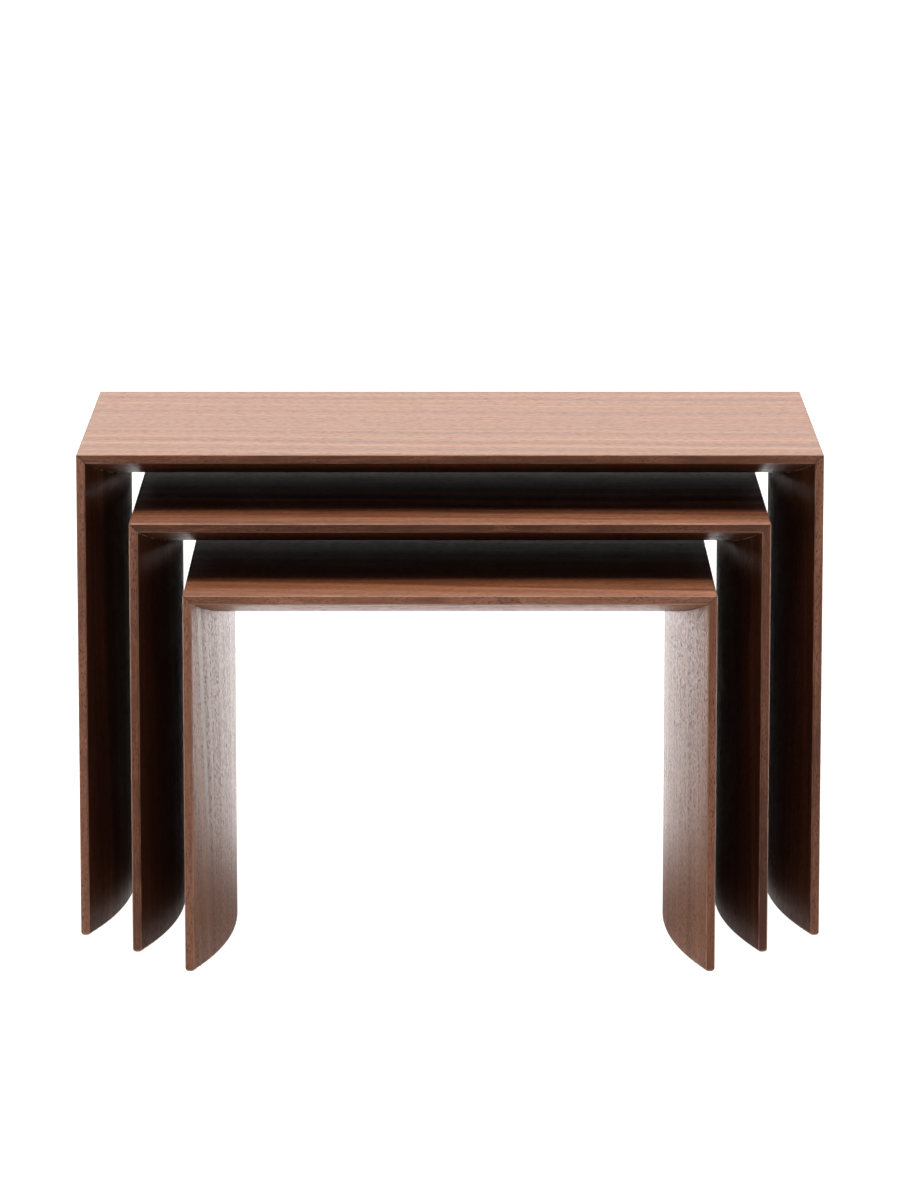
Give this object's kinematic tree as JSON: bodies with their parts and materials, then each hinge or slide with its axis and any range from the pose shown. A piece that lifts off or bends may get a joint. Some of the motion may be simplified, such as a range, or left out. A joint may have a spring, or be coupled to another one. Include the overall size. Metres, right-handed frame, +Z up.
{
  "type": "nesting tables",
  "caption": "Nest of three low walnut tables, each an arch of three mitred panels, flat outside and bulging inside, that slide out from under one another.",
  "frame": {"origin": "on the floor, at the centre of the box that holds the whole nest as it stands at rest", "axes": "+Z up, +X to the right along the tables' widths, -Y to the front, the way the smaller tables pull out"},
  "size_m": [0.7, 0.541, 0.4635],
  "materials": {
    "walnut_veneer": "satin lacquered walnut veneer, straight grain",
    "walnut_lipping": "satin lacquered solid walnut",
    "core_board": "raw machined board",
    "birch_tongue": "raw birch plywood",
    "felt_glide": "pressed felt"
  },
  "bodies": {
    "large_table": {"large_glides": "felt_glide", "large_left_back_lipping": "walnut_lipping", "large_left_core": "core_board", "large_left_foot_lipping": "walnut_lipping", "large_left_front_lipping": "walnut_lipping", "large_left_inner_veneer": "walnut_veneer", "large_left_outer_veneer": "walnut_veneer", "large_mitre_tongues": "birch_tongue", "large_right_back_lipping": "walnut_lipping", "large_right_core": "core_board", "large_right_foot_lipping": "walnut_lipping", "large_right_front_lipping": "walnut_lipping", "large_right_inner_veneer": "walnut_veneer", "large_right_outer_veneer": "walnut_veneer", "large_top_back_lipping": "walnut_lipping", "large_top_core": "core_board", "large_top_front_lipping": "walnut_lipping", "large_top_inner_veneer": "walnut_veneer", "large_top_outer_veneer": "walnut_veneer"},
    "medium_table": {"medium_glides": "felt_glide", "medium_left_back_lipping": "walnut_lipping", "medium_left_core": "core_board", "medium_left_foot_lipping": "walnut_lipping", "medium_left_front_lipping": "walnut_lipping", "medium_left_inner_veneer": "walnut_veneer", "medium_left_outer_veneer": "walnut_veneer", "medium_mitre_tongues": "birch_tongue", "medium_right_back_lipping": "walnut_lipping", "medium_right_core": "core_board", "medium_right_foot_lipping": "walnut_lipping", "medium_right_front_lipping": "walnut_lipping", "medium_right_inner_veneer": "walnut_veneer", "medium_right_outer_veneer": "walnut_veneer", "medium_top_back_lipping": "walnut_lipping", "medium_top_core": "core_board", "medium_top_front_lipping": "walnut_lipping", "medium_top_inner_veneer": "walnut_veneer", "medium_top_outer_veneer": "walnut_veneer"},
    "small_table": {"small_glides": "felt_glide", "small_left_back_lipping": "walnut_lipping", "small_left_core": "core_board", "small_left_foot_lipping": "walnut_lipping", "small_left_front_lipping": "walnut_lipping", "small_left_inner_veneer": "walnut_veneer", "small_left_outer_veneer": "walnut_veneer", "small_mitre_tongues": "birch_tongue", "small_right_back_lipping": "walnut_lipping", "small_right_core": "core_board", "small_right_foot_lipping": "walnut_lipping", "small_right_front_lipping": "walnut_lipping", "small_right_inner_veneer": "walnut_veneer", "small_right_outer_veneer": "walnut_veneer", "small_top_back_lipping": "walnut_lipping", "small_top_core": "core_board", "small_top_front_lipping": "walnut_lipping", "small_top_inner_veneer": "walnut_veneer", "small_top_outer_veneer": "walnut_veneer"}
  },
  "joints": [
    {"name": "medium_slide", "type": "slide", "parent": "large_table", "child": "medium_table", "axis": [0, -1, 0], "range_m": [-0.066, 0.4]},
    {"name": "small_slide", "type": "slide", "parent": "large_table", "child": "small_table", "axis": [0, -1, 0], "range_m": [-0.141, 0.76]}
  ]
}
